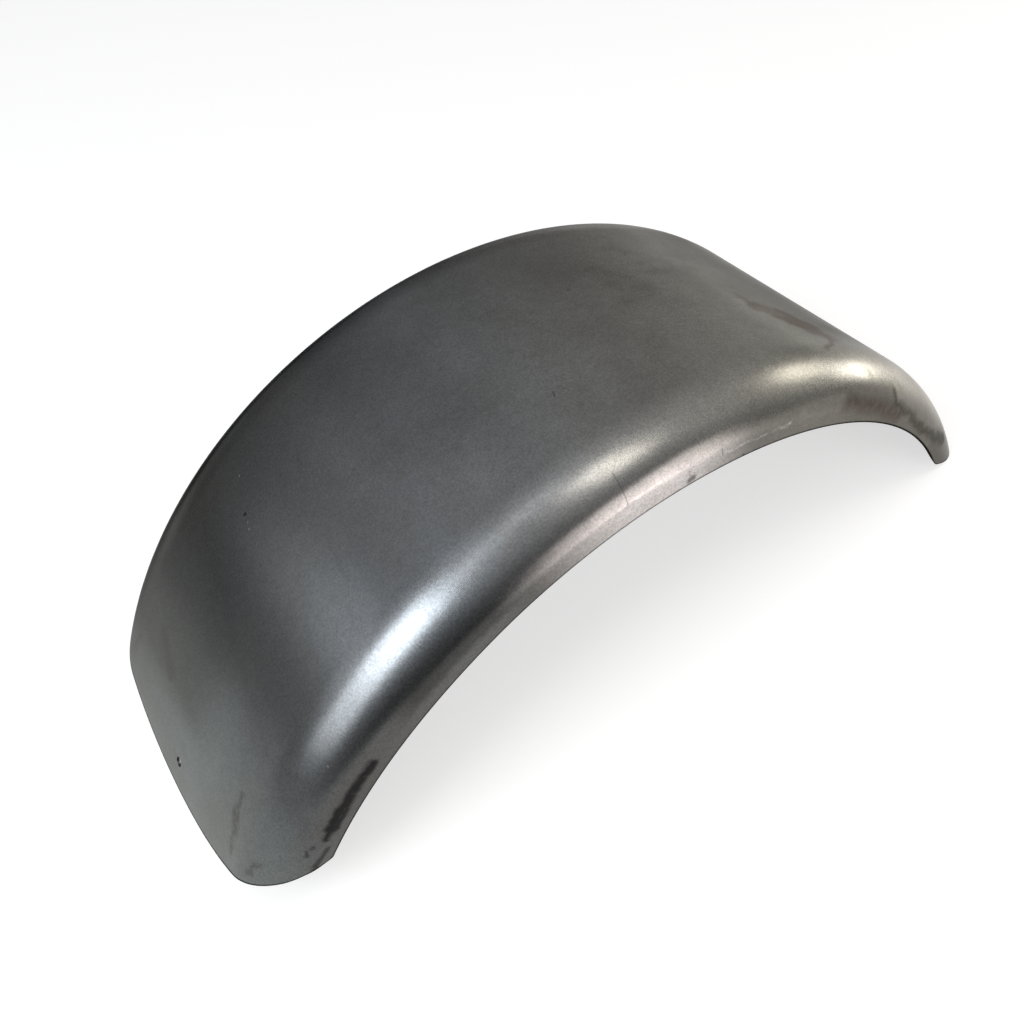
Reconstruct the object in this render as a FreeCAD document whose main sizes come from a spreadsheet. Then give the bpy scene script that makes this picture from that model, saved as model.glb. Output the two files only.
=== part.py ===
import FreeCAD, Part
import math
import os
import Sketcher
from FreeCAD import Placement, Rotation, Vector

# A short, wide motorcycle fender, rolled and pressed from one steel sheet and left unpainted.
# It stands as an arch on its two ends: X runs along the wheel, Y across it and Z up.
# The holed end is at -X and the plain end at +X. Lengths are in millimetres, angles in degrees.
doc = FreeCAD.newDocument("motorcycle_fender")
sizes = doc.addObject("Spreadsheet::Sheet", "sizes")

DRIVING_SIZES = [
    ("width", 260.0, "across the two skirts, outside"),
    ("crown_radius", 343.0, "from the wheel's axis to the outside of the crown"),
    ("arc_span", 133.0, "angle that the crown covers round the wheel"),
    ("sheet", 1.6, "thickness of the steel"),
    ("shoulder_radius", 53.0, "first, broad bend beside the crown, outside"),
    ("shoulder_turn", 38.3, "angle that the broad bend turns through"),
    ("skirt_radius", 21.6, "second, tighter bend down to the skirt, outside"),
    ("skirt_drop", 6.5, "straight upright strip below the bends"),
    ("bow_radius", 242.0, "rounding of the holed end across the crown"),
    ("bow_slant", 28.5, "lean of the holed end's cut, which takes the skirts back"),
    ("trim_radius", 5.0, "small rounding of the holed end's skirt corners"),
    ("corner_radius", 58.0, "large rounding of the plain end as seen from the side"),
    ("corner_rise", 13.0, "height of that rounding's centre above the crown"),
    ("tail_angle", 10.4, "angle before the plain end over which the skirt's edge runs straight"),
    ("hole_size", 6.5, "diameter of the bolt hole in the crown"),
    ("hole_setback", 23.8, "from the tip of the holed end to the bolt hole"),
    ("cut_margin", 12.0, "how far the trimming cuts run past the sheet"),
]
for row, (alias, value, meaning) in enumerate(DRIVING_SIZES, start=1):
    sizes.set("A%d" % row, alias)
    sizes.set("B%d" % row, str(value))
    sizes.set("C%d" % row, meaning)
    sizes.setAlias("B%d" % row, alias)
doc.recompute()

HALF_SPAN = "(sizes.arc_span / 2 * 1 deg)"
SKIRT_DEPTH = (
    "(sizes.shoulder_radius * (1 - cos(sizes.shoulder_turn * 1 deg))"
    " + sizes.skirt_radius * cos(sizes.shoulder_turn * 1 deg) + sizes.skirt_drop)"
)
SKIRT_EDGE_RADIUS = "(sizes.crown_radius - " + SKIRT_DEPTH + ")"
HOLE_ANGLE = "(" + HALF_SPAN + " - asin(sizes.hole_setback / sizes.crown_radius))"


def bind(sketch, name, constraint, expression):
    """Add a dimension to a sketch and tie it to the sheet of sizes."""
    index = sketch.addConstraint(constraint)
    sketch.renameConstraint(index, name)
    sketch.setExpression("Constraints." + name, expression)


def skirt_depth():
    """How far the skirt's edge lies below the crown, outside."""
    turn = math.radians(sizes.shoulder_turn)
    bends = sizes.shoulder_radius * (1 - math.cos(turn)) + sizes.skirt_radius * math.cos(turn)
    return bends + sizes.skirt_drop


def sketch_on(body, name, role):
    """Start a sketch on one of the body's own origin planes."""
    plane = next(item for item in body.Origin.OriginFeatures if item.Role == role)
    sketch = body.newObject("Sketcher::SketchObject", name)
    sketch.AttachmentSupport = [(plane, "")]
    sketch.MapMode = "FlatFace"
    return sketch


def lean_to_holed_end(sketch, place, lean):
    """Set a sketch on the crown at an angle from the top, and lean it over by its own angle."""
    sketch.AttachmentOffset = Placement(Vector(0, 0, 0), Rotation(Vector(0, -1, 0), sizes.arc_span / 2))
    sketch.setExpression("AttachmentOffset.Rotation.Angle", lean)
    sketch.setExpression("AttachmentOffset.Base.x", "-sizes.crown_radius * sin(" + place + ")")
    sketch.setExpression("AttachmentOffset.Base.z", "sizes.crown_radius * cos(" + place + ")")


def add_skin(sketch, offset):
    """Draw one side of the sheet: crown, two bends each way and two skirts, for an inward offset."""
    crown_height = sizes.crown_radius
    turn = math.radians(sizes.shoulder_turn)
    broad = sizes.shoulder_radius - offset
    tight = sizes.skirt_radius - offset
    half_width = sizes.width / 2
    reach = (sizes.shoulder_radius - sizes.skirt_radius) * math.sin(turn)
    half_crown = half_width - sizes.skirt_radius - reach
    broad_height = crown_height - sizes.shoulder_radius
    tight_height = broad_height + (sizes.shoulder_radius - sizes.skirt_radius) * math.cos(turn)
    upright = math.pi / 2

    skin = {}
    crown = Part.LineSegment(
        Vector(-half_crown, crown_height - offset), Vector(half_crown, crown_height - offset))
    skin["crown"] = sketch.addGeometry(crown)
    for side, sign in (("right", 1), ("left", -1)):
        broad_arc = Part.Circle(Vector(sign * half_crown, broad_height), Vector(0, 0, 1), broad)
        tight_arc = Part.Circle(Vector(sign * (half_crown + reach), tight_height), Vector(0, 0, 1), tight)
        spans = [(upright - turn, upright), (0, upright - turn)]
        if side == "left":
            spans = [(upright, upright + turn), (upright + turn, math.pi)]
        skin["broad_" + side] = sketch.addGeometry(Part.ArcOfCircle(broad_arc, *spans[0]))
        skin["tight_" + side] = sketch.addGeometry(Part.ArcOfCircle(tight_arc, *spans[1]))
        wall = sign * (half_width - offset)
        skirt = Part.LineSegment(Vector(wall, tight_height), Vector(wall, tight_height - sizes.skirt_drop))
        skin["skirt_" + side] = sketch.addGeometry(skirt)

    joins = [
        ("crown", 2, "broad_right", 2),
        ("broad_right", 1, "tight_right", 2),
        ("tight_right", 1, "skirt_right", 1),
        ("crown", 1, "broad_left", 1),
        ("broad_left", 2, "tight_left", 1),
        ("tight_left", 2, "skirt_left", 1),
    ]
    for first, first_end, second, second_end in joins:
        sketch.addConstraint(
            Sketcher.Constraint("Tangent", skin[first], first_end, skin[second], second_end))
    sketch.addConstraint(Sketcher.Constraint("Vertical", skin["skirt_right"]))
    sketch.addConstraint(Sketcher.Constraint("Vertical", skin["skirt_left"]))
    return skin


def draw_section(body):
    """The sheet's cross-section at the top of the arch, seen along the wheel."""
    section = sketch_on(body, "section", "YZ_Plane")
    outer = add_skin(section, 0.0)
    inner = add_skin(section, sizes.sheet)

    section.addConstraint(Sketcher.Constraint("Symmetric", outer["crown"], 1, outer["crown"], 2, -2))
    section.addConstraint(Sketcher.Constraint("Equal", outer["broad_right"], outer["broad_left"]))
    section.addConstraint(Sketcher.Constraint("Equal", outer["tight_right"], outer["tight_left"]))
    section.addConstraint(Sketcher.Constraint("Horizontal", outer["broad_right"], 1, outer["broad_left"], 2))
    section.addConstraint(Sketcher.Constraint("Horizontal", outer["skirt_right"], 2, outer["skirt_left"], 2))
    section.addConstraint(Sketcher.Constraint("Horizontal", inner["crown"]))
    for bend in ("broad_right", "tight_right", "broad_left", "tight_left"):
        section.addConstraint(Sketcher.Constraint("Coincident", inner[bend], 3, outer[bend], 3))
    for skirt in ("skirt_right", "skirt_left"):
        low_outer = section.getPoint(outer[skirt], 2)
        low_inner = section.getPoint(inner[skirt], 2)
        edge = section.addGeometry(Part.LineSegment(low_outer, low_inner))
        section.addConstraint(Sketcher.Constraint("Coincident", edge, 1, outer[skirt], 2))
        section.addConstraint(Sketcher.Constraint("Coincident", edge, 2, inner[skirt], 2))
        section.addConstraint(Sketcher.Constraint("Horizontal", edge))

    turn = math.radians(sizes.shoulder_turn)
    bind(section, "crown_height",
         Sketcher.Constraint("DistanceY", -1, 1, outer["crown"], 1, sizes.crown_radius), "sizes.crown_radius")
    bind(section, "across",
         Sketcher.Constraint("DistanceX", outer["skirt_left"], 1, outer["skirt_right"], 1, sizes.width),
         "sizes.width")
    bind(section, "broad_bend",
         Sketcher.Constraint("Radius", outer["broad_right"], sizes.shoulder_radius), "sizes.shoulder_radius")
    bind(section, "broad_turn",
         Sketcher.Constraint("Angle", outer["broad_right"], turn), "sizes.shoulder_turn")
    bind(section, "tight_bend",
         Sketcher.Constraint("Radius", outer["tight_right"], sizes.skirt_radius), "sizes.skirt_radius")
    bind(section, "upright_strip",
         Sketcher.Constraint("DistanceY", outer["skirt_right"], 2, outer["skirt_right"], 1, sizes.skirt_drop),
         "sizes.skirt_drop")
    bind(section, "thickness",
         Sketcher.Constraint("DistanceY", inner["crown"], 1, outer["crown"], 1, sizes.sheet), "sizes.sheet")
    return section


def roll_sheet(body, section):
    """Turn the section round the wheel's axis, evenly to both sides of the top."""
    rolled = body.newObject("PartDesign::Revolution", "rolled_sheet")
    rolled.Profile = section
    rolled.ReferenceAxis = (section, ["H_Axis"])
    rolled.Midplane = True
    rolled.setExpression("Angle", "sizes.arc_span")
    return rolled


def trim_holed_end(body):
    """Cut the holed end to a bow across the crown, square to the skirts, which its lean takes back."""
    bow = sketch_on(body, "bow_outline", "XY_Plane")
    lean_to_holed_end(bow, HALF_SPAN, "(" + HALF_SPAN + " + sizes.bow_slant * 1 deg)")

    radius = sizes.bow_radius
    inside = sizes.width / 2 - sizes.sheet
    outside = sizes.width / 2 + sizes.cut_margin
    half_angle = math.asin(inside / radius)
    fall = radius * (1 - math.cos(half_angle))
    past = -(skirt_depth() * math.sin(math.radians(sizes.bow_slant)) + sizes.cut_margin)
    circle = Part.Circle(Vector(radius, 0), Vector(0, 0, 1), radius)
    arc = bow.addGeometry(Part.ArcOfCircle(circle, math.pi - half_angle, math.pi + half_angle))
    corners = [
        Vector(fall, inside), Vector(fall, outside), Vector(past, outside),
        Vector(past, -outside), Vector(fall, -outside), Vector(fall, -inside),
    ]
    lines = [bow.addGeometry(Part.LineSegment(*ends)) for ends in zip(corners, corners[1:])]
    for first, second in zip(lines, lines[1:]):
        bow.addConstraint(Sketcher.Constraint("Coincident", first, 2, second, 1))
    bow.addConstraint(Sketcher.Constraint("Coincident", arc, 1, lines[0], 1))
    bow.addConstraint(Sketcher.Constraint("Coincident", arc, 2, lines[-1], 2))
    for upright in (lines[0], lines[4]):
        bow.addConstraint(Sketcher.Constraint("Vertical", upright))
    for level in (lines[1], lines[3]):
        bow.addConstraint(Sketcher.Constraint("Horizontal", level))
    bow.addConstraint(Sketcher.Constraint("PointOnObject", arc, 3, -1))
    bow.addConstraint(Sketcher.Constraint("Symmetric", lines[2], 1, lines[2], 2, -1))
    bow.addConstraint(Sketcher.Constraint("Vertical", arc, 1, arc, 2))
    bind(bow, "bow", Sketcher.Constraint("Radius", arc, radius), "sizes.bow_radius")
    bind(bow, "tip", Sketcher.Constraint("DistanceX", -1, 1, arc, 3, radius), "sizes.bow_radius")
    bind(bow, "bow_end", Sketcher.Constraint("DistanceY", -1, 1, arc, 1, inside),
         "sizes.width / 2 - sizes.sheet")
    bind(bow, "side", Sketcher.Constraint("DistanceY", -1, 1, lines[1], 1, outside),
         "sizes.width / 2 + sizes.cut_margin")
    bind(bow, "past", Sketcher.Constraint("DistanceX", lines[2], 1, -1, 1, -past),
         SKIRT_DEPTH + " * sin(sizes.bow_slant * 1 deg) + sizes.cut_margin")

    cut = body.newObject("PartDesign::Pocket", "bowed_end")
    cut.Profile = bow
    cut.Type = "Length"
    # Half the crown's radius reaches past the skirts and stops far short of the plain end.
    cut.setExpression("Length", "sizes.crown_radius / 2")
    return cut


def round_plain_end(body):
    """Round the plain end as seen from the side, down to a sharp tip where the skirt's edge has run straight."""
    corner = sketch_on(body, "corner_outline", "XZ_Plane")
    corner.AttachmentOffset = Placement(Vector(0, 0, 0), Rotation(Vector(0, 0, 1), 90 - sizes.arc_span / 2))
    corner.setExpression("AttachmentOffset.Rotation.Angle", "90 deg - " + HALF_SPAN)

    edge = sizes.crown_radius - skirt_depth()
    radius = sizes.corner_radius
    margin = sizes.cut_margin
    tail = math.radians(sizes.tail_angle)
    towards = Vector(math.cos(tail), math.sin(tail))
    run = Vector(math.sin(tail), -math.cos(tail))
    on_skirt = towards * edge
    below = towards * (edge - margin)
    middle = Vector(sizes.crown_radius + sizes.corner_rise, radius)
    on_end = Vector(middle.x, 0)
    abreast = (middle - on_skirt).dot(run)
    clear = (middle - on_skirt).dot(towards)
    tip = on_skirt + run * (abreast + math.sqrt(radius ** 2 - clear ** 2))
    tip_turn = math.atan2(tip.y - middle.y, tip.x - middle.x) % (2 * math.pi)

    guide = corner.addGeometry(Part.LineSegment(Vector(0, 0), on_skirt), True)
    circle = Part.Circle(middle, Vector(0, 0, 1), radius)
    arc = corner.addGeometry(Part.ArcOfCircle(circle, tip_turn, 1.5 * math.pi))
    straight = corner.addGeometry(Part.LineSegment(tip, on_skirt))
    inward = corner.addGeometry(Part.LineSegment(on_skirt, below))
    down = corner.addGeometry(Part.LineSegment(below, Vector(below.x, -margin)))
    across = corner.addGeometry(Part.LineSegment(Vector(below.x, -margin), Vector(on_end.x, -margin)))
    back = corner.addGeometry(Part.LineSegment(Vector(on_end.x, -margin), on_end))
    corner.addConstraint(Sketcher.Constraint("Coincident", guide, 1, -1, 1))
    corner.addConstraint(Sketcher.Constraint("Coincident", guide, 2, straight, 2))
    corner.addConstraint(Sketcher.Constraint("Coincident", arc, 1, straight, 1))
    corner.addConstraint(Sketcher.Constraint("Coincident", straight, 2, inward, 1))
    corner.addConstraint(Sketcher.Constraint("Coincident", inward, 2, down, 1))
    corner.addConstraint(Sketcher.Constraint("Coincident", down, 2, across, 1))
    corner.addConstraint(Sketcher.Constraint("Coincident", across, 2, back, 1))
    corner.addConstraint(Sketcher.Constraint("Coincident", back, 2, arc, 2))
    corner.addConstraint(Sketcher.Constraint("Perpendicular", guide, straight))
    corner.addConstraint(Sketcher.Constraint("PointOnObject", inward, 2, guide))
    corner.addConstraint(Sketcher.Constraint("Vertical", arc, 3, arc, 2))
    corner.addConstraint(Sketcher.Constraint("Vertical", down))
    corner.addConstraint(Sketcher.Constraint("Horizontal", across))
    corner.addConstraint(Sketcher.Constraint("Vertical", back))
    bind(corner, "rounding", Sketcher.Constraint("Radius", arc, radius), "sizes.corner_radius")
    bind(corner, "from_end", Sketcher.Constraint("DistanceY", -1, 1, arc, 3, radius), "sizes.corner_radius")
    bind(corner, "from_axis", Sketcher.Constraint("DistanceX", -1, 1, arc, 3, middle.x),
         "sizes.crown_radius + sizes.corner_rise")
    bind(corner, "tail_place", Sketcher.Constraint("Angle", -1, 1, guide, 1, tail), "sizes.tail_angle")
    bind(corner, "skirt_edge", Sketcher.Constraint("Distance", guide, edge), SKIRT_EDGE_RADIUS)
    bind(corner, "under", Sketcher.Constraint("Distance", inward, margin), "sizes.cut_margin")
    bind(corner, "past", Sketcher.Constraint("DistanceY", across, 1, -1, 1, margin), "sizes.cut_margin")

    cut = body.newObject("PartDesign::Pocket", "rounded_end")
    cut.Profile = corner
    cut.SideType = "Symmetric"
    cut.Type = "Length"
    cut.setExpression("Length", "2 * sizes.width")
    return cut


def drill_hole(body):
    """Drill the bolt hole square to the crown, on its centreline near the holed end."""
    spot = sketch_on(body, "hole_centre", "XY_Plane")
    lean_to_holed_end(spot, HOLE_ANGLE, HOLE_ANGLE)
    circle = spot.addGeometry(Part.Circle(Vector(0, 0), Vector(0, 0, 1), sizes.hole_size / 2))
    spot.addConstraint(Sketcher.Constraint("Coincident", circle, 3, -1, 1))
    bind(spot, "bore", Sketcher.Constraint("Diameter", circle, sizes.hole_size), "sizes.hole_size")
    doc.recompute()

    hole = body.newObject("PartDesign::Hole", "bolt_hole")
    hole.Profile = spot
    hole.DepthType = "Dimension"
    hole.DrillPoint = "Flat"
    hole.setExpression("Diameter", "sizes.hole_size")
    hole.setExpression("Depth", "sizes.sheet + sizes.cut_margin")
    return hole


def soften_holed_corners(body):
    """Round the two skirt corners that the leaning cut leaves at the holed end."""
    base = body.Tip
    edge_radius = sizes.crown_radius - skirt_depth()
    walls = [sizes.width / 2 - sizes.sheet, sizes.width / 2]
    close = 0.1 * sizes.sheet
    corners = []
    for index, edge in enumerate(base.Shape.Edges, start=1):
        points = sorted((vertex.Point for vertex in edge.Vertexes), key=lambda point: abs(point.y))
        at_edge = all(abs(math.hypot(point.x, point.z) - edge_radius) < close for point in points)
        at_walls = all(abs(abs(point.y) - wall) < close for point, wall in zip(points, walls))
        if len(points) == 2 and at_edge and at_walls and points[0].x < 0:
            corners.append("Edge%d" % index)
    soft = body.newObject("PartDesign::Fillet", "trimmed_corners")
    soft.Base = (base, corners)
    soft.setExpression("Radius", "sizes.trim_radius")
    return soft


def stand_on_ground(body):
    """Lift the arch from the wheel's axis until its lowest points touch the ground, centred along X."""
    box = body.Shape.optimalBoundingBox(False, False)
    body.Placement.Base = Vector(-(box.XMin + box.XMax) / 2, 0, -box.ZMin)


fender = doc.addObject("PartDesign::Body", "fender")
fender.Label = "fender"
roll_sheet(fender, draw_section(fender))
doc.recompute()
for trim in (trim_holed_end, round_plain_end, drill_hole, soften_holed_corners):
    volume_before = fender.Shape.Volume
    trim(fender)
    doc.recompute()
    if "Invalid" in fender.Tip.State or fender.Shape.Volume >= volume_before:
        raise RuntimeError("%s took nothing away" % fender.Tip.Name)
stand_on_ground(fender)
doc.recompute()

for item in doc.Objects:
    if "Invalid" in item.State or "Error" in item.State:
        raise RuntimeError("%s failed to build: %s" % (item.Name, item.State))
if fender.Shape.isNull() or not fender.Shape.isValid():
    raise RuntimeError("the fender has no valid solid")

os.makedirs("parts", exist_ok=True)
fender.Shape.exportStep(os.path.join("parts", fender.Label + ".step"))
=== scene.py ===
import math

import bpy
from mathutils import Matrix, Vector


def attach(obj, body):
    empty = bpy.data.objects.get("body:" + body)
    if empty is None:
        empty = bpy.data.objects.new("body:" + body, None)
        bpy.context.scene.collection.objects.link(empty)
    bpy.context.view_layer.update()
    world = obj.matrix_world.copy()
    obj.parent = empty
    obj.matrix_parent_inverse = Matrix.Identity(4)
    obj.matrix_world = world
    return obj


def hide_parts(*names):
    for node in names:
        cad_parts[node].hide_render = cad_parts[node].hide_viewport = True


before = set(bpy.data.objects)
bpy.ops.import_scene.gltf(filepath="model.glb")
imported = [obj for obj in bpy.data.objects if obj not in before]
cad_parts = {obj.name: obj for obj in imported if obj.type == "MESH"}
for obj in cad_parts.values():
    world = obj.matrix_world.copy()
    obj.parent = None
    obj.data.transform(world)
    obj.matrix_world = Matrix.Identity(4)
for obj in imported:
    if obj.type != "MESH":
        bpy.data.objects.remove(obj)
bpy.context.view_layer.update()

# Fender sheet: one blank of 1.6 mm bare steel. The bolt hole is drilled in the flat blank, the blank is
# rolled round the wheel and pressed to a flat crown, two rounded shoulders and two skirts, and both ends
# are trimmed. Nothing is fixed to it, and its sheared edges are only eased by hand.
press = bpy.data.node_groups.new("pressed_fender", "GeometryNodeTree")
press.interface.new_socket("Sheet", in_out="OUTPUT", socket_type="NodeSocketGeometry")
press_sizes = {}


def ask_size(name, kind, value):
    socket = press.interface.new_socket(name, in_out="INPUT", socket_type=kind)
    press_sizes[socket.identifier] = value


for name, value in (
    ("Width", 0.260),
    ("Crown radius", 0.343),
    ("Arc span", math.radians(133.0)),
    ("Sheet", 0.0016),
    ("Shoulder radius", 0.053),
    ("Shoulder turn", math.radians(38.3)),
    ("Skirt radius", 0.0216),
    ("Skirt drop", 0.0065),
    ("Bow radius", 0.242),
    ("Bow slant", math.radians(28.5)),
    ("Trim radius", 0.005),
    ("Trim lean", math.radians(41.0)),
    ("Corner radius", 0.058),
    ("Corner rise", 0.013),
    ("Tail angle", math.radians(10.4)),
    ("Hole size", 0.0065),
    ("Hole setback", 0.0238),
    ("Hole easing", 0.0003),
    ("Edge easing", 0.00025),
    ("Tool line place", 0.1385),
    ("Tool line depth", 0.0003),
    ("Axle place", 0.000296),
    ("Axle height", -0.136771),
):
    ask_size(name, "NodeSocketFloat", value)
for name, value in (("Cells along", 212), ("Cells across", 120)):
    ask_size(name, "NodeSocketInt", value)
steel_socket = press.interface.new_socket("Steel", in_out="INPUT", socket_type="NodeSocketMaterial")


def add(tree, kind, inputs=None, **settings):
    node = tree.nodes.new(kind)
    for name, value in settings.items():
        setattr(node, name, value)
    for name, value in (inputs or {}).items():
        if isinstance(value, bpy.types.NodeSocket):
            tree.links.new(value, node.inputs[name])
        else:
            node.inputs[name].default_value = value
    return node


def calc(tree, operation, *values):
    return add(tree, "ShaderNodeMath", dict(enumerate(values)), operation=operation).outputs[0]


def reckon(operation, *values):
    return calc(press, operation, *values)


def squared(value):
    return reckon("POWER", value, 2.0)


def ease(value, low, high):
    inputs = {"Value": value, "From Min": low, "From Max": high}
    return add(press, "ShaderNodeMapRange", inputs, interpolation_type="SMOOTHSTEP").outputs[0]


given = add(press, "NodeGroupInput").outputs
crown = given["Crown radius"]
sheet = given["Sheet"]
half_span = reckon("MULTIPLY", given["Arc span"], 0.5)
half_width = reckon("MULTIPLY", given["Width"], 0.5)
turn = given["Shoulder turn"]
skirt_turn = reckon("SUBTRACT", math.pi / 2, turn)
radius_step = reckon("SUBTRACT", given["Shoulder radius"], given["Skirt radius"])
shoulder_start = reckon(
    "SUBTRACT",
    reckon("SUBTRACT", half_width, given["Skirt radius"]),
    reckon("MULTIPLY", radius_step, reckon("SINE", turn)),
)
shoulder_end = reckon("MULTIPLY_ADD", given["Shoulder radius"], turn, shoulder_start)
skirt_start = reckon("MULTIPLY_ADD", given["Skirt radius"], skirt_turn, shoulder_end)
half_girth = reckon("ADD", skirt_start, given["Skirt drop"])

# The flat blank, a unit block drilled where the bolt hole comes. Its rows lie closer together towards the
# skirts, and a cone eases the hole's edge on the outer skin.
rows_through = 4
even_share = 0.35
hole_sides = 40
drill_depth = 3.0
cone_foot = 0.1
cone_height = 0.8
cone_spread = 3.0
blank = add(
    press,
    "GeometryNodeMeshCube",
    {
        "Vertices X": reckon("ADD", given["Cells along"], 1),
        "Vertices Y": reckon("ADD", given["Cells across"], 1),
        "Vertices Z": rows_through,
    },
)
middle_stretch = even_share + (1 - even_share) * math.pi / 2
blank_length = reckon("MULTIPLY", crown, given["Arc span"])
blank_width = reckon("MULTIPLY", half_girth, 2 * middle_stretch)
hole_radius = reckon("MULTIPLY", given["Hole size"], 0.5)
hole_share = reckon("DIVIDE", given["Hole setback"], blank_length)
hole_place = add(press, "ShaderNodeCombineXYZ", {"X": reckon("SUBTRACT", hole_share, 0.5)}).outputs[0]
drill_stretch = add(
    press,
    "ShaderNodeCombineXYZ",
    {"X": reckon("DIVIDE", 1.0, blank_length), "Y": reckon("DIVIDE", 1.0, blank_width), "Z": 1.0},
).outputs[0]
drill = add(
    press,
    "GeometryNodeMeshCylinder",
    {"Vertices": hole_sides, "Radius": hole_radius, "Depth": drill_depth},
)
easing_cone = add(
    press,
    "GeometryNodeMeshCone",
    {
        "Vertices": hole_sides,
        "Radius Bottom": reckon("SUBTRACT", hole_radius, given["Hole easing"]),
        "Radius Top": reckon("MULTIPLY_ADD", given["Hole easing"], cone_spread, hole_radius),
        "Depth": cone_height,
    },
)
easing_place = add(
    press,
    "ShaderNodeVectorMath",
    {0: hole_place, 1: (0.0, 0.0, cone_foot)},
    operation="ADD",
).outputs[0]
drilled = add(press, "GeometryNodeMeshBoolean", {"Mesh 1": blank.outputs["Mesh"]}, operation="DIFFERENCE")
for tool, tool_place in ((drill, hole_place), (easing_cone, easing_place)):
    placed = add(
        press,
        "GeometryNodeTransform",
        {"Geometry": tool.outputs["Mesh"], "Translation": tool_place, "Scale": drill_stretch},
    )
    press.links.new(placed.outputs[0], drilled.inputs["Mesh 2"])

# Places on the blank: how far along, how far across, and how deep in the sheet.
skin_level = 0.45
flat_place = add(press, "GeometryNodeInputPosition").outputs[0]
flat = add(press, "ShaderNodeSeparateXYZ", {0: flat_place}).outputs
along_share = reckon("ADD", flat["X"], 0.5)
across_share = reckon("MULTIPLY", flat["Y"], 2.0)
side = reckon("SIGN", across_share)
skin_depth = reckon("MULTIPLY", reckon("SUBTRACT", 0.5, flat["Z"]), sheet)
on_skin = reckon("GREATER_THAN", reckon("ABSOLUTE", flat["Z"]), skin_level)
easing = reckon("MULTIPLY", given["Edge easing"], on_skin)
crowding = reckon("SINE", reckon("MULTIPLY", across_share, math.pi / 2))
spread = reckon(
    "MULTIPLY_ADD",
    across_share,
    even_share,
    reckon("MULTIPLY", crowding, 1 - even_share),
)
girth = reckon(
    "MINIMUM",
    reckon("MULTIPLY", reckon("ABSOLUTE", spread), half_girth),
    reckon("SUBTRACT", half_girth, easing),
)


# The pressed section: flat crown, shoulder arc, tighter skirt arc, straight skirt, with the sheet's depth
# set off square to it.
def bend_angle(start, radius, full_turn):
    angle = reckon("DIVIDE", reckon("SUBTRACT", girth, start), radius)
    return reckon("MINIMUM", reckon("MAXIMUM", angle, 0.0), full_turn)


shoulder_angle = bend_angle(shoulder_start, given["Shoulder radius"], turn)
skirt_angle = bend_angle(shoulder_end, given["Skirt radius"], skirt_turn)
bend = reckon("ADD", shoulder_angle, skirt_angle)
skirt_reach = reckon("SUBTRACT", reckon("SINE", bend), reckon("SINE", shoulder_angle))
reach = reckon(
    "ADD",
    reckon("MINIMUM", girth, shoulder_start),
    reckon(
        "ADD",
        reckon("MULTIPLY", given["Shoulder radius"], reckon("SINE", shoulder_angle)),
        reckon("MULTIPLY", given["Skirt radius"], skirt_reach),
    ),
)
shoulder_fall = reckon("SUBTRACT", 1.0, reckon("COSINE", shoulder_angle))
skirt_fall = reckon("SUBTRACT", reckon("COSINE", shoulder_angle), reckon("COSINE", bend))
straight_fall = reckon("MAXIMUM", reckon("SUBTRACT", girth, skirt_start), 0.0)
fall = reckon(
    "ADD",
    reckon("MULTIPLY", given["Shoulder radius"], shoulder_fall),
    reckon("ADD", reckon("MULTIPLY", given["Skirt radius"], skirt_fall), straight_fall),
)

# The tool left a faint wavering step along the middle of each skirt, over the top of the arch only.
wave_turn = 41.0
wave_height = 0.0009
tool_wave = reckon("SINE", reckon("MULTIPLY", along_share, wave_turn))
tool_line = reckon("ADD", given["Tool line place"], reckon("MULTIPLY", tool_wave, wave_height))
tool_run = reckon("MULTIPLY", ease(along_share, 0.22, 0.32), ease(along_share, 0.56, 0.44))
tool_step = ease(reckon("SUBTRACT", girth, tool_line), -0.0008, 0.0012)
tool_step = reckon("MULTIPLY", reckon("MULTIPLY", tool_step, tool_run), given["Tool line depth"])
set_in = reckon("ADD", skin_depth, tool_step)
out = reckon("SUBTRACT", reach, reckon("MULTIPLY", set_in, reckon("SINE", bend)))
ring = reckon(
    "SUBTRACT",
    reckon("SUBTRACT", crown, fall),
    reckon("MULTIPLY", set_in, reckon("COSINE", bend)),
)

# The holed end is cut on a bow that leans in towards the skirts, with its two skirt corners rounded.
bow = given["Bow radius"]
bow_reach = reckon("MINIMUM", out, reckon("SUBTRACT", half_width, sheet))
bow_dip = reckon("SUBTRACT", bow, reckon("SQRT", reckon("SUBTRACT", squared(bow), squared(bow_reach))))
bow_line = reckon("MULTIPLY_ADD", crown, reckon("SINE", given["Bow slant"]), bow_dip)
bow_end = reckon(
    "SUBTRACT",
    reckon("ARCSINE", reckon("DIVIDE", bow_line, ring)),
    reckon("ADD", half_span, given["Bow slant"]),
)
trim = given["Trim radius"]
lean = given["Trim lean"]
edge_height = reckon("MINIMUM", reckon("SUBTRACT", half_girth, girth), trim)
trim_turn = reckon("SUBTRACT", math.pi / 4, reckon("MULTIPLY", lean, 0.5))
trim_run = reckon("MULTIPLY", trim, reckon("TANGENT", trim_turn))
trim_arc = reckon("SUBTRACT", squared(trim), squared(reckon("SUBTRACT", trim, edge_height)))
trim_arc = reckon("SQRT", reckon("MAXIMUM", trim_arc, 0.0))
trim_cut = reckon(
    "MULTIPLY_ADD",
    edge_height,
    reckon("TANGENT", lean),
    reckon("SUBTRACT", trim_run, trim_arc),
)
in_trim = reckon("LESS_THAN", edge_height, reckon("MULTIPLY", trim_run, reckon("COSINE", lean)))
end_cut = reckon("ADD", reckon("MULTIPLY", trim_cut, in_trim), easing)
holed_end = reckon("ADD", bow_end, reckon("DIVIDE", end_cut, ring))

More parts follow.
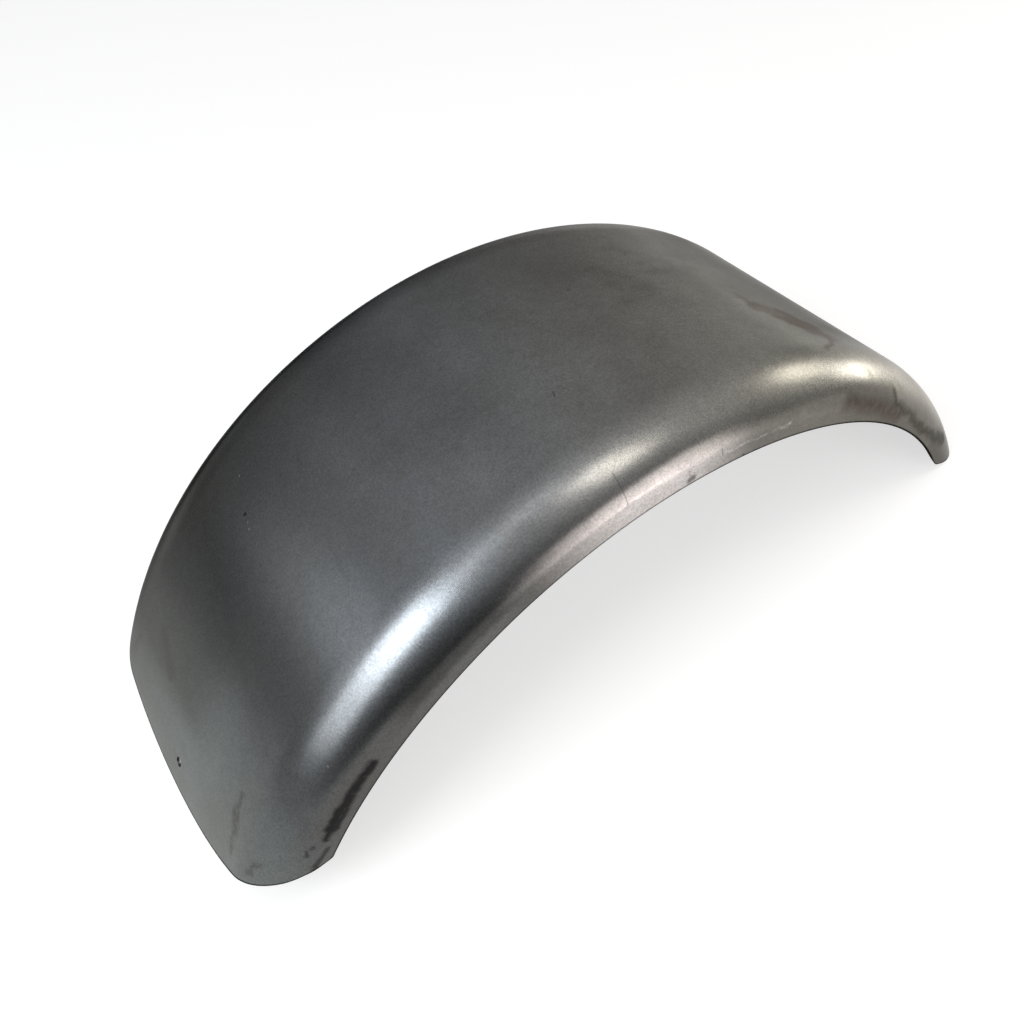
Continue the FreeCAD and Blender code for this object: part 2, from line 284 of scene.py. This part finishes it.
# The plain end is cut straight across the crown and rounded away as seen from the side, down to a sharp
# tip where the skirt's edge has run straight.
skirt_ring = reckon(
    "SUBTRACT",
    crown,
    reckon(
        "ADD",
        reckon("ADD", given["Skirt radius"], given["Skirt drop"]),
        reckon("MULTIPLY", radius_step, reckon("SUBTRACT", 1.0, reckon("COSINE", turn))),
    ),
)
corner = given["Corner radius"]
corner_reach = reckon("ADD", crown, given["Corner rise"])
corner_ring = reckon("SQRT", reckon("ADD", squared(corner_reach), squared(corner)))
corner_share = reckon(
    "DIVIDE",
    reckon("ADD", squared(ring), reckon("SUBTRACT", squared(corner_ring), squared(corner))),
    reckon("MULTIPLY", reckon("MULTIPLY", ring, corner_ring), 2.0),
)
corner_cut = reckon(
    "SUBTRACT",
    reckon("ARCTAN2", corner, corner_reach),
    reckon("ARCCOSINE", reckon("MINIMUM", corner_share, 1.0)),
)
tail_cut = reckon(
    "SUBTRACT",
    given["Tail angle"],
    reckon("ARCCOSINE", reckon("MINIMUM", reckon("DIVIDE", skirt_ring, ring), 1.0)),
)
rounded_end = reckon("SUBTRACT", half_span, reckon("MAXIMUM", corner_cut, tail_cut))
plain_end = reckon("SUBTRACT", rounded_end, reckon("DIVIDE", easing, ring))

# The blank goes to its place on the wheel's ring, and keeps its own measures in millimetres for the finish.
to_mm = 1000.0
angle = reckon("MULTIPLY_ADD", reckon("SUBTRACT", plain_end, holed_end), along_share, holed_end)
pressed_place = add(
    press,
    "ShaderNodeCombineXYZ",
    {
        "X": reckon("MULTIPLY_ADD", ring, reckon("SINE", angle), given["Axle place"]),
        "Y": reckon("MULTIPLY", out, side),
        "Z": reckon("MULTIPLY_ADD", ring, reckon("COSINE", angle), given["Axle height"]),
    },
).outputs[0]
from_ends = reckon(
    "MULTIPLY",
    ring,
    reckon("MINIMUM", reckon("SUBTRACT", angle, holed_end), reckon("SUBTRACT", plain_end, angle)),
)
from_edge = reckon("MINIMUM", from_ends, reckon("SUBTRACT", half_girth, girth))
part = drilled.outputs["Mesh"]
for name, value in (
    ("along_mm", reckon("MULTIPLY", reckon("MULTIPLY", angle, crown), to_mm)),
    ("across_mm", reckon("MULTIPLY", reckon("MULTIPLY", girth, side), to_mm)),
    ("outer_skin", reckon("ADD", flat["Z"], 0.5)),
    ("sheared_edge", reckon("SUBTRACT", 1.0, on_skin)),
    ("from_edge_mm", reckon("MULTIPLY", from_edge, to_mm)),
):
    part = add(
        press,
        "GeometryNodeStoreNamedAttribute",
        {"Geometry": part, "Name": name, "Value": value},
        data_type="FLOAT",
        domain="POINT",
    ).outputs[0]
part = add(press, "GeometryNodeSetPosition", {"Geometry": part, "Position": pressed_place}).outputs[0]
part = add(press, "GeometryNodeSetShadeSmooth", {"Geometry": part}).outputs[0]
part = add(press, "GeometryNodeRealizeInstances", {"Geometry": part}).outputs[0]
part = add(press, "GeometryNodeSetMaterial", {"Geometry": part, "Material": given["Steel"]}).outputs[0]
add(press, "NodeGroupOutput", {"Sheet": part})

# The finish is bare rolled steel with the dirt and wear of the shop on it, and with painted shade and
# painted light laid into its colour in places. Zones and marks are placed in millimetres along the sheet
# from the top of the arch, and across it from the middle of the crown.
raw_steel = bpy.data.materials.new("raw_steel")
raw_steel.use_nodes = True
steel = raw_steel.node_tree
steel.nodes.clear()


def measure(name):
    return add(steel, "ShaderNodeAttribute", attribute_name=name).outputs["Fac"]


def weigh(operation, *values):
    return calc(steel, operation, *values)


def vector(operation, *values):
    return add(steel, "ShaderNodeVectorMath", dict(enumerate(values)), operation=operation)


def scaled(value, scale):
    return add(steel, "ShaderNodeVectorMath", {0: value, "Scale": scale}, operation="SCALE").outputs[0]


def grade(value, low, high, at_low=0.0, at_high=1.0):
    inputs = {"Value": value, "From Min": low, "From Max": high, "To Min": at_low, "To Max": at_high}
    return add(steel, "ShaderNodeMapRange", inputs, interpolation_type="SMOOTHSTEP").outputs[0]


def mottle(where, scale, detail=2.0, roughness=0.5, output="Fac"):
    inputs = {"Vector": where, "Scale": scale, "Detail": detail, "Roughness": roughness}
    return add(steel, "ShaderNodeTexNoise", inputs).outputs[output]


def overlap(*zones):
    whole = zones[0]
    for zone in zones[1:]:
        whole = weigh("MULTIPLY", whole, zone)
    return whole


# Inputs 0, 6 and 7 of a colour mix are its amount and its two colours.
def blend(under, upper, amount):
    mix = add(steel, "ShaderNodeMix", {0: amount}, data_type="RGBA")
    for socket, shade in ((mix.inputs[6], under), (mix.inputs[7], upper)):
        if isinstance(shade, bpy.types.NodeSocket):
            steel.links.new(shade, socket)
        else:
            socket.default_value = (*shade, 1.0)
    return mix.outputs[2]


def laid(under, zone, share, shade):
    return blend(under, shade, weigh("MULTIPLY", zone, share))


def shade_ramp(tree, value, stops):
    ramp = add(tree, "ShaderNodeValToRGB", {"Fac": value})
    shades = ramp.color_ramp.elements
    for made, (position, shade) in zip((shades[0], shades[1]), (stops[0], stops[-1])):
        made.position = position
        made.color = (*shade, 1.0)
    for position, shade in stops[1:-1]:
        shades.new(position).color = (*shade, 1.0)
    return ramp.outputs["Color"]


def stroke(where, start, end, half, softness):
    offset = vector("SUBTRACT", where, (*start, 0.0)).outputs[0]
    run = Vector((*end, 0.0)) - Vector((*start, 0.0))
    if run.length > 0:
        share = vector("DOT_PRODUCT", offset, run / run.length_squared).outputs["Value"]
        share = weigh("MINIMUM", weigh("MAXIMUM", share, 0.0), 1.0)
        offset = vector("SUBTRACT", offset, scaled(run, share)).outputs[0]
    distance = vector("LENGTH", offset).outputs["Value"]
    return grade(distance, half - softness, half + softness, 1.0, 0.0)


def strokes(where, lines, softness):
    whole = None
    for start, end, half in lines:
        line = stroke(where, start, end, half, softness)
        whole = line if whole is None else weigh("MAXIMUM", whole, line)
    return whole


def dot(along_mm, across_mm, half):
    return ((along_mm, across_mm), (along_mm, across_mm), half)


along = measure("along_mm")
across = measure("across_mm")
from_middle = weigh("ABSOLUTE", across)
outside = grade(measure("outer_skin"), 0.4, 0.6)
place = add(steel, "ShaderNodeCombineXYZ", {"X": along, "Y": across}).outputs[0]
solid = add(steel, "ShaderNodeTexCoord").outputs["Object"]


# Wandering places, on which a mark's edge turns ragged, smeared or only slowly drifting.
def wandering(noise, along_mm, across_mm):
    wander = vector("SUBTRACT", noise, (0.5, 0.5, 0.5)).outputs[0]
    return vector("MULTIPLY_ADD", wander, (along_mm, across_mm, 0.0), place).outputs[0]


quick_noise = mottle(place, scale=0.09, detail=3.0, roughness=0.6, output="Color")
slow_noise = mottle(place, scale=0.04, detail=2.0, roughness=0.5, output="Color")
ragged = wandering(quick_noise, 16.0, 9.0)
smeared = wandering(quick_noise, 9.0, 5.0)
drifting = wandering(slow_noise, 14.0, 9.0)

# Bare cold-rolled colour: dark and neutral at the holed end, cool in the middle, warm and lighter at the
# plain end. This tone is partly the steel's own tint and partly painted shade and painted light that follow
# its reflections. The tone runs a little askew over the sheet, with light clouds and brown ones in it.
tone_skew = -0.35
tone_end = 400.0
tone_place = add(
    steel,
    "ShaderNodeMapRange",
    {
        "Value": weigh("MULTIPLY_ADD", across, tone_skew, along),
        "From Min": -tone_end,
        "From Max": tone_end,
    },
).outputs[0]
tone_and_painted_light = shade_ramp(
    steel,
    tone_place,
    (
        (0.09, (0.141, 0.159, 0.156)),
        (0.18, (0.101, 0.105, 0.107)),
        (0.28, (0.18, 0.188, 0.198)),
        (0.38, (0.262, 0.279, 0.3)),
        (0.46, (0.212, 0.217, 0.222)),
        (0.56, (0.275, 0.272, 0.262)),
        (0.7, (0.53, 0.51, 0.45)),
        (0.88, (0.47, 0.44, 0.38)),
    ),
)
clouds = mottle(solid, scale=15.0, detail=3.0, roughness=0.5)
brown_clouds = mottle(solid, scale=27.0, detail=3.0, roughness=0.65)
colour = blend(tone_and_painted_light, (0.12, 0.112, 0.1), grade(clouds, 0.4, 0.7, 0.0, 0.28))
brown_haze = overlap(grade(brown_clouds, 0.5, 0.72), grade(weigh("ADD", along, across), -60.0, 160.0))
colour = laid(colour, brown_haze, share=0.36, shade=(0.15, 0.127, 0.1))

# Darker zones. Painted shade lies on the far shoulder, eased off on a stretch of its rim, on the holed
# end's far half, on the plain end, on both skirts and in a band along the near skirt. The middle of the
# crown and the plain end have further darker patches.
# Painted shade on the far shoulder.
far_painted_shade = overlap(grade(across, -40.0, 120.0), grade(along, 120.0, -160.0, 0.25, 1.0))
# The painted shade on the far shoulder eases off on a stretch of its rim.
far_shade_gap = overlap(grade(across, 80.0, 125.0), grade(along, -235.0, -175.0))
far_painted_shade = overlap(far_painted_shade, grade(far_shade_gap, 0.0, 1.0, 1.0, 0.45))
colour = laid(colour, far_painted_shade, share=0.52, shade=(0.05, 0.048, 0.043))
# A darker patch on the middle of the crown.
mid_crown_dark = overlap(grade(along, -140.0, -100.0), grade(along, -30.0, -75.0), grade(across, -65.0, -5.0))
colour = laid(colour, mid_crown_dark, share=0.36, shade=(0.06, 0.06, 0.06))
# Painted shade on the holed end's far half.
holed_painted_shade = overlap(grade(along, -250.0, -280.0), grade(along, -352.0, -325.0), grade(across, -45.0, 10.0))
colour = laid(colour, holed_painted_shade, share=0.6, shade=(0.05, 0.05, 0.048))
# Painted shade over the plain end.
plain_painted_shade = overlap(grade(along, 112.0, 150.0), grade(across, -108.0, -92.0))
colour = laid(colour, plain_painted_shade, share=0.48, shade=(0.15, 0.145, 0.128))
# A further darker band across the plain end, from its near shoulder over the crown.
plain_end_dark = overlap(grade(along, 150.0, 178.0), grade(along, 250.0, 195.0), grade(across, -112.0, -85.0))
colour = laid(colour, plain_end_dark, share=0.34, shade=(0.09, 0.085, 0.075))
# Painted shade on both skirts, less of it towards the holed end.
skirt_painted_shade = overlap(grade(from_middle, 116.0, 136.0), grade(along, -340.0, -265.0, 0.3, 1.0))
colour = laid(colour, skirt_painted_shade, share=0.8, shade=(0.076, 0.071, 0.064))
# A band of painted shade along the near skirt.
skirt_shade_band = overlap(
    grade(across, -127.0, -132.0),
    grade(across, -143.0, -137.0),
    grade(along, -222.0, -190.0),
    grade(along, -105.0, -130.0),
)
colour = laid(colour, skirt_shade_band, share=0.52, shade=(0.012, 0.012, 0.011))

# Below the press's tool line the skirts are lighter with a pinkish cast, partly bare steel and partly a
# painted reflection, with fine dark pits in it.
line_sway = 5.0
line_noise = mottle(place, scale=0.05, detail=3.0, roughness=0.7)
over_line = weigh("MULTIPLY_ADD", line_noise, line_sway, from_middle)
bare_and_lit_strip = overlap(grade(over_line, 126.0, 141.0), grade(along, -115.0, -20.0), grade(along, 85.0, 0.0))
colour = laid(colour, bare_and_lit_strip, share=0.72, shade=(0.42, 0.388, 0.374))
# Nearer the edge a painted highlight lightens the skirt further.
below_line_highlight = overlap(grade(over_line, 136.5, 141.5), grade(along, -110.0, -15.0), grade(along, 75.0, 0.0))
colour = laid(colour, below_line_highlight, share=0.53, shade=(0.7, 0.655, 0.635))
pits = overlap(
    grade(mottle(place, scale=0.8, detail=2.0, roughness=0.6), 0.56, 0.7),
    grade(over_line, 139.0, 143.0),
    grade(along, -190.0, -90.0),
    grade(along, 130.0, 60.0),
)
colour = laid(colour, pits, share=0.45, shade=(0.13, 0.115, 0.11))

# The plain end's skirt is brown and dull up to an olive line, beyond which the shoulder is clean. There are
# faint yellow-green ripples above it, and the tip is dull again.
dull_limit = grade(along, 218.0, 238.0, -121.0, -138.0)
smeared_across = vector("DOT_PRODUCT", smeared, (0.0, 1.0, 0.0)).outputs["Value"]
tail_dull = overlap(
    grade(weigh("SUBTRACT", smeared_across, dull_limit), 4.0, -7.0),
    grade(along, 120.0, 190.0),
)
colour = laid(colour, tail_dull, share=0.5, shade=(0.072, 0.064, 0.052))
blotch_place = vector("MULTIPLY", place, (0.17, 0.09, 0.0)).outputs[0]
blotches = mottle(blotch_place, scale=1.0, detail=4.0, roughness=0.65)
stain_lines = (
    ((163.0, -134.5), (194.0, -139.5), 5.0),
    ((194.0, -139.5), (240.0, -142.0), 6.0),
)
brown_stain = overlap(strokes(drifting, stain_lines, softness=5.5), grade(blotches, 0.3, 0.62, 0.6, 1.0))
colour = laid(colour, brown_stain, share=0.72, shade=(0.055, 0.037, 0.028))
olive_lines = (
    ((226.0, -126.0), (230.0, -135.0), 2.4),
    ((230.0, -135.0), (264.0, -140.0), 2.2),
    ((264.0, -140.5), (300.0, -143.0), 3.4),
    ((300.0, -142.5), (330.0, -139.5), 3.0),
    ((330.0, -139.0), (352.0, -134.0), 4.5),
)
olive_stain = overlap(strokes(ragged, olive_lines, softness=3.0), grade(blotches, 0.25, 0.5, 0.4, 1.0))
colour = laid(colour, olive_stain, share=0.78, shade=(0.036, 0.034, 0.022))
ripple_place = vector("MULTIPLY", smeared, (0.24, 0.1, 0.0)).outputs[0]
ripple = overlap(
    grade(mottle(ripple_place, scale=1.0, detail=3.0, roughness=0.6), 0.32, 0.66),
    stroke(ragged, (196.0, -117.0), (235.0, -122.0), half=5.0, softness=4.0),
)
colour = laid(colour, ripple, share=0.5, shade=(0.13, 0.127, 0.062))
tip_dull = overlap(grade(along, 322.0, 340.0), grade(across, -120.0, -132.0))
colour = laid(colour, tip_dull, share=0.45, shade=(0.045, 0.043, 0.03))

# Marks in the finish: mill scale, smears, smudges, scratches, specks and a crease, each on its own stretch
# of the sheet; the crease's light line is a scratch with a painted highlight along it. A line of a mark has
# its start, its end and half its width.
scale_lines = (
    ((-242.0, -138.5), (-262.0, -138.4), 3.1),
    ((-262.0, -138.5), (-280.0, -139.0), 3.7),
    ((-280.0, -139.0), (-296.0, -138.8), 4.4),
    ((-296.0, -138.8), (-305.0, -138.0), 2.0),
)
flaking = grade(mottle(place, scale=0.16, detail=3.0, roughness=0.65), 0.32, 0.42, 0.75, 1.0)
mill_scale = overlap(strokes(smeared, scale_lines, softness=2.0), flaking)
colour = laid(colour, mill_scale, share=0.92, shade=(0.012, 0.012, 0.013))
corner_lines = (
    ((-314.0, -142.0), (-338.0, -139.5), 1.9),
    ((-318.0, -130.3), (-321.0, -131.0), 0.9),
    ((-313.0, -133.0), (-316.0, -132.5), 0.6),
)
corner_smears = strokes(ragged, corner_lines, softness=1.5)
colour = laid(colour, corner_smears, share=0.85, shade=(0.025, 0.024, 0.022))
smear_lines = (
    ((163.0, -22.0), (162.0, -36.0), 3.0),
    ((165.0, -37.0), (177.0, -49.0), 8.0),
    ((177.0, -49.0), (187.0, -67.0), 12.0),
    ((188.0, -67.0), (192.0, -79.0), 7.0),
)
hook_lines = (
    ((193.0, -79.0), (187.0, -86.0), 2.4),
    ((187.0, -86.0), (169.0, -95.5), 1.8),
)
brown_smear = weigh(
    "MAXIMUM",
    strokes(ragged, smear_lines, softness=4.5),
    strokes(smeared, hook_lines, softness=1.6),
)
brown_smear = overlap(brown_smear, grade(brown_clouds, 0.25, 0.55, 0.5, 1.0))
colour = laid(colour, brown_smear, share=0.8, shade=(0.1, 0.07, 0.048))
smudge_lines = (
    ((-322.0, -75.5), (-334.0, -77.0), 2.2),
    ((-334.0, -77.0), (-348.0, -80.0), 4.2),
    ((-348.0, -80.0), (-364.0, -81.5), 1.8),
    ((-346.0, -108.0), (-361.0, -101.0), 1.8),
)
smudges = overlap(
    strokes(ragged, smudge_lines, softness=2.6),
    grade(mottle(place, scale=0.25, detail=3.0), 0.3, 0.6, 0.35, 1.0),
)
colour = laid(colour, smudges, share=0.72, shade=(0.05, 0.051, 0.046))
far_smudge_lines = (
    ((-340.0, 86.0), (-374.0, 104.0), 3.5),
    ((-312.0, 58.0), (-326.0, 36.0), 5.0),
)
far_smudges = strokes(ragged, far_smudge_lines, softness=5.0)
colour = laid(colour, far_smudges, share=0.45, shade=(0.05, 0.049, 0.044))
scratch_lines = (
    ((-27.5, -116.0), (-29.5, -135.6), 0.2),
    ((42.5, -136.0), (43.0, -141.5), 0.2),
    ((-17.0, -48.5), (-18.5, -52.5), 0.3),
    ((62.5, -148.6), (62.5, -150.4), 0.8),
    dot(-203.5, 43.5, 1.4),
    dot(50.0, 25.3, 0.7),
    dot(-362.0, -17.5, 0.5),
    dot(16.5, -142.1, 0.5),
    dot(18.0, -143.6, 0.5),
    dot(16.0, -139.6, 0.4),
    dot(20.0, -142.4, 0.45),
)
scratches = strokes(place, scratch_lines, softness=0.35)
colour = laid(colour, scratches, share=0.75, shade=(0.025, 0.022, 0.02))
rub = stroke(place, (16.5, -146.4), (19.5, -146.0), half=2.1, softness=1.6)
colour = laid(colour, rub, share=0.75, shade=(0.05, 0.045, 0.042))
speck_lines = (
    dot(-191.5, 69.5, 0.6),
    dot(-207.0, 32.5, 0.55),
    dot(-205.0, 37.0, 0.4),
    ((-256.5, -118.0), (-257.0, -118.4), 0.4),
)
specks = strokes(place, speck_lines, softness=0.4)
colour = laid(colour, specks, share=0.45, shade=(0.6, 0.6, 0.58))
# The crease is drawn as a light line: a scratch with a painted highlight along it.
crease_lines = (
    ((44.0, -139.5), (74.0, -141.0), 0.5),
    ((74.0, -141.0), (104.0, -139.5), 0.5),
)
crease_scratch_highlight = overlap(strokes(ragged, crease_lines, softness=0.9), grade(blotches, 0.35, 0.6))
colour = laid(colour, crease_scratch_highlight, share=0.3, shade=(0.72, 0.68, 0.66))

# The underside keeps the plain clouded mill finish.
underside = blend((0.2, 0.198, 0.19), (0.11, 0.104, 0.094), grade(clouds, 0.35, 0.7, 0.0, 0.7))
colour = blend(underside, colour, outside)

# Fine rolled grain in the tone, and painted shade darkening the sheared edge and a narrow band along it all
# round.
grain = mottle(solid, scale=760.0, detail=2.0, roughness=0.6)
speckle = mottle(solid, scale=150.0, detail=3.0, roughness=0.75)
grain_tone = overlap(grade(grain, 0.28, 0.72, 1.15, 0.85), grade(speckle, 0.3, 0.7, 1.05, 0.95))
colour = scaled(colour, grain_tone)
# Painted shade on the sheared edge and along it.
edge_shade_strength = 0.85
edge_shade_line = weigh("MULTIPLY", grade(measure("from_edge_mm"), 1.9, 0.5), edge_shade_strength)
shaded_edge = weigh("MAXIMUM", edge_shade_line, measure("sheared_edge"))
colour = laid(colour, shaded_edge, share=0.93, shade=(0.016, 0.0155, 0.015))

# The gloss's edge tint is darkened on the far rim, the plain end's crown and the sheared edge, as painted
# shade on their reflections at a flat angle. Gloss follows a fine grain and the clouds and is lost on
# stains and scale, and the rolled sheet has very shallow waves.
rim_shade = overlap(grade(along, 130.0, 230.0, 0.0, 0.6), grade(across, -100.0, -60.0))
rim_shade = weigh("MAXIMUM", rim_shade, grade(across, 84.0, 122.0))
rim_tint = blend((0.76, 0.75, 0.74), (0.06, 0.06, 0.06), weigh("MAXIMUM", rim_shade, shaded_edge))
base_roughness = 0.12
cloud_roughness = 0.08
fine_roughness = 0.26
stain_roughness = 0.16
fine_grain = mottle(solid, scale=2400.0, detail=1.0)
gloss = weigh("MULTIPLY_ADD", clouds, cloud_roughness, base_roughness)
gloss = weigh("MULTIPLY_ADD", fine_grain, fine_roughness, gloss)
stained = weigh("MAXIMUM", mill_scale, weigh("MAXIMUM", brown_stain, olive_stain))
stained = overlap(stained, outside)
gloss = weigh("MULTIPLY_ADD", weigh("MAXIMUM", stained, shaded_edge), stain_roughness, gloss)
wave_share = 0.7
grain_share = 0.05
waves = mottle(solid, scale=46.0, detail=2.0)
relief = weigh("MULTIPLY_ADD", waves, wave_share, weigh("MULTIPLY", grain, grain_share))
bumps = add(steel, "ShaderNodeBump", {"Height": relief, "Strength": 0.12, "Distance": 0.001})
skin = add(
    steel,
    "ShaderNodeBsdfPrincipled",
    {
        "Base Color": colour,
        "Metallic": 1.0,
        "Roughness": gloss,
        "Specular Tint": rim_tint,
        "Normal": bumps.outputs[0],
    },
)
add(steel, "ShaderNodeOutputMaterial", {"Surface": skin.outputs[0]})

# The blank is pressed once, and only the finished sheet is kept.
sharp_angle = math.radians(33)
blank_mesh = bpy.data.meshes.new("fender_blank")
fender_blank = bpy.data.objects.new("fender_blank", blank_mesh)
bpy.context.scene.collection.objects.link(fender_blank)
pressing = fender_blank.modifiers.new("pressing", "NODES")
pressing.node_group = press
for identifier, value in press_sizes.items():
    pressing[identifier] = value
pressing[steel_socket.identifier] = raw_steel
evaluated = fender_blank.evaluated_get(bpy.context.evaluated_depsgraph_get())
fender_mesh = bpy.data.meshes.new_from_object(evaluated)
fender_blank.modifiers.remove(pressing)
bpy.data.objects.remove(fender_blank)
fender_mesh.name = "fender_sheet"
fender_mesh.set_sharp_from_angle(angle=sharp_angle)
fender = bpy.data.objects.new("fender_sheet", fender_mesh)
bpy.context.scene.collection.objects.link(fender)
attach(fender, "root")
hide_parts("fender")

# Floor: a plain pale sheet of studio paper, wider than any view of the fender.
# It lies loose under the fender and takes its shadow.
floor_half = 8.0
floor_corners = [
    (-floor_half, -floor_half, 0.0),
    (floor_half, -floor_half, 0.0),
    (floor_half, floor_half, 0.0),
    (-floor_half, floor_half, 0.0),
]
paper_glow = 0.6
paper_grey = (0.5, 0.5, 0.5, 1.0)
floor_mesh = bpy.data.meshes.new("studio_floor")
floor_mesh.from_pydata(floor_corners, [], [(0, 1, 2, 3)])
floor_paper = bpy.data.materials.new("studio_paper")
floor_paper.use_nodes = True
paper = floor_paper.node_tree
paper.nodes.clear()
ray = add(paper, "ShaderNodeLightPath").outputs
mirrored = calc(paper, "MAXIMUM", ray["Is Glossy Ray"], ray["Is Transmission Ray"])
seen = calc(paper, "MAXIMUM", ray["Is Camera Ray"], mirrored)
paper_white = add(paper, "ShaderNodeEmission", {"Strength": calc(paper, "MULTIPLY", seen, paper_glow)})
paper_matt = add(paper, "ShaderNodeBsdfDiffuse", {"Color": paper_grey})
paper_face = add(paper, "ShaderNodeAddShader", {0: paper_white.outputs[0], 1: paper_matt.outputs[0]})
add(paper, "ShaderNodeOutputMaterial", {"Surface": paper_face.outputs[0]})
floor_mesh.materials.append(floor_paper)
floor = bpy.data.objects.new("studio_floor", floor_mesh)
bpy.context.scene.collection.objects.link(floor)

# Light: soft panels at the left, above, at the right and in front of the fender, and one behind it on the
# left, under a pale ceiling that dims to the walls. They stand well clear of the fender, each turned to its
# middle, and each has its place, its size, its brightness and its tint.
fender_middle = Vector((0.0, 0.0, 0.12))
for name, spot, panel_size, radiance, tint in (
    ("left_panel", (-1.77, -0.2, 1.748), (1.2, 0.98), 6.6, (0.94, 0.98, 1.0)),
    ("left_fill", (-2.235, -0.25, 1.003), (1.1, 0.64), 3.3, (0.94, 0.98, 1.0)),
    ("back_fill", (-1.7, 0.93, 1.03), (1.0, 0.58), 0.82, (0.96, 0.99, 1.0)),
    ("upper_panel", (0.36, -0.42, 1.5), (0.32, 0.54), 5.3, (1.0, 0.94, 0.85)),
    ("over_left", (-0.5, -0.08, 2.0), (0.4, 1.3), 0.95, (0.97, 0.99, 1.0)),
    ("right_panel", (1.35, -0.05, 0.13), (0.26, 0.2), 5.8, (1.0, 0.99, 0.96)),
    ("right_fill", (1.28, -0.06, 0.56), (0.3, 0.3), 2.6, (1.0, 0.96, 0.88)),
    ("front_panel", (0.22, -0.74, 0.265), (0.54, 0.49), 2.9, (1.0, 0.95, 0.94)),
):
    panel = bpy.data.lights.new(name, "AREA")
    panel.shape = "RECTANGLE"
    panel.size, panel.size_y = panel_size
    panel.energy = radiance * math.pi * panel_size[0] * panel_size[1]
    panel.color = tint
    lamp = bpy.data.objects.new(name, panel)
    lamp.location = spot
    lamp.rotation_euler = (fender_middle - Vector(spot)).to_track_quat("-Z", "Y").to_euler()
    bpy.context.scene.collection.objects.link(lamp)

# The room is dimmer towards the corner in front of the holed end.
dark_corner = (-0.6, -0.74, 0.3)
dark_corner_light = 0.33
room = bpy.data.worlds.new("pale_room")
room.use_nodes = True
room_tree = room.node_tree
room_tree.nodes.clear()
direction = add(room_tree, "ShaderNodeTexCoord").outputs["Generated"]
upward = add(room_tree, "ShaderNodeSeparateXYZ", {0: direction}).outputs["Z"]
grey_steps = ((0.0, 0.27), (0.26, 0.28), (0.5, 0.36), (0.79, 0.5), (0.92, 0.66), (1.0, 0.9))
ceiling = shade_ramp(room_tree, upward, [(height, (grey, grey, grey)) for height, grey in grey_steps])
to_corner = add(
    room_tree,
    "ShaderNodeVectorMath",
    {0: direction, 1: dark_corner},
    operation="DOT_PRODUCT",
).outputs["Value"]
corner_light = add(
    room_tree,
    "ShaderNodeMapRange",
    {"Value": to_corner, "From Min": 0.68, "From Max": 0.97, "To Min": 1.0, "To Max": dark_corner_light},
    interpolation_type="SMOOTHSTEP",
).outputs[0]
backdrop = add(room_tree, "ShaderNodeBackground", {"Color": ceiling, "Strength": corner_light})
add(room_tree, "ShaderNodeOutputWorld", {"Surface": backdrop.outputs[0]})
bpy.context.scene.world = room

# Camera: the photograph's view, from above the holed end's near side, a little rolled.
# Its place, its turn and its lens were worked out from the outline of the fender.
view_right = Vector((0.814545, -0.569923, -0.108187))
view_up = Vector((0.491926, 0.579775, 0.649515))
view_back = Vector((-0.307449, -0.582279, 0.752613))
view_place = (-0.236558, -0.391473, 0.572118)
lens = bpy.data.cameras.new("photo_camera")
lens.sensor_width = 36.0
lens.lens = 33.33
camera = bpy.data.objects.new("photo_camera", lens)
turned = Matrix((view_right, view_up, view_back)).transposed().to_4x4()
camera.matrix_world = Matrix.Translation(view_place) @ turned
bpy.context.scene.collection.objects.link(camera)
bpy.context.scene.camera = camera
bpy.context.scene.view_settings.view_transform = "Standard"
